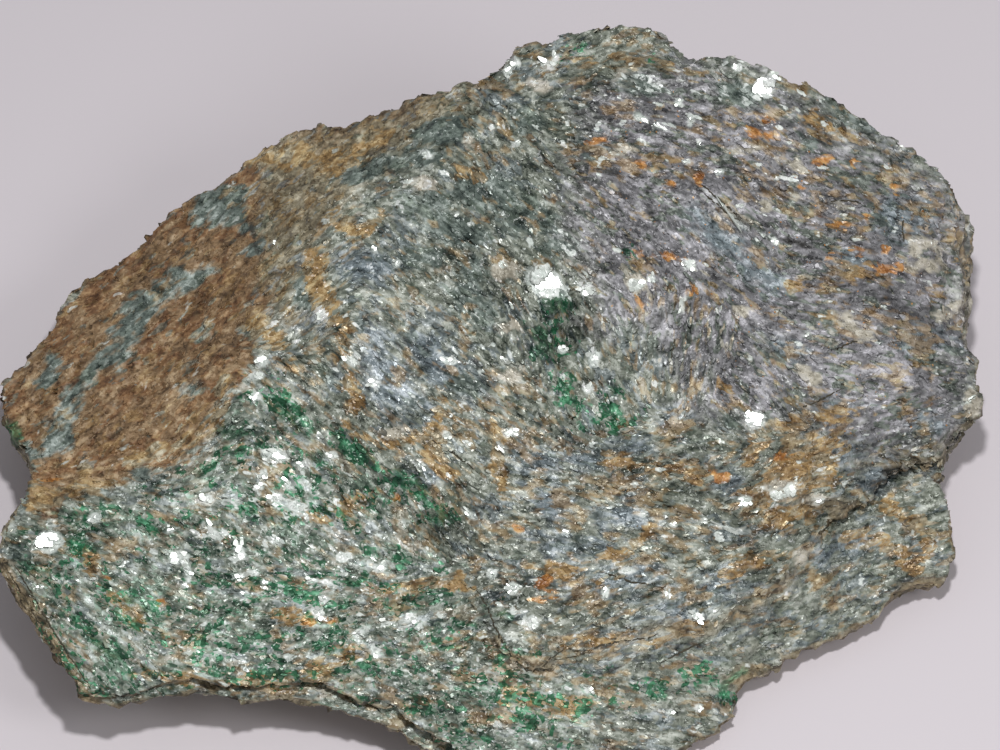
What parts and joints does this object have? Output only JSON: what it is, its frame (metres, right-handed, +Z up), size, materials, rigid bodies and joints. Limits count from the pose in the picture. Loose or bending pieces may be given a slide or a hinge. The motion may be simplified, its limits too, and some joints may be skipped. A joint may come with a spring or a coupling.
{
  "type": "mica schist hand specimen",
  "caption": "a broken hand specimen of green chrome mica schist, with a rust-brown weathered face and grey scaly mica leaves",
  "frame": {"origin": "the middle of the outer box at the height of the flat base", "axes": "+X along the specimen's length to its right end, +Y to its thick back, +Z up out of the base"},
  "size_m": [0.1322, 0.102, 0.0386],
  "materials": {
    "mica": "coarse scaly mica with bright cleavage flakes"
  },
  "bodies": {
    "root": {"mica_crystal": "mica"}
  },
  "joints": []
}
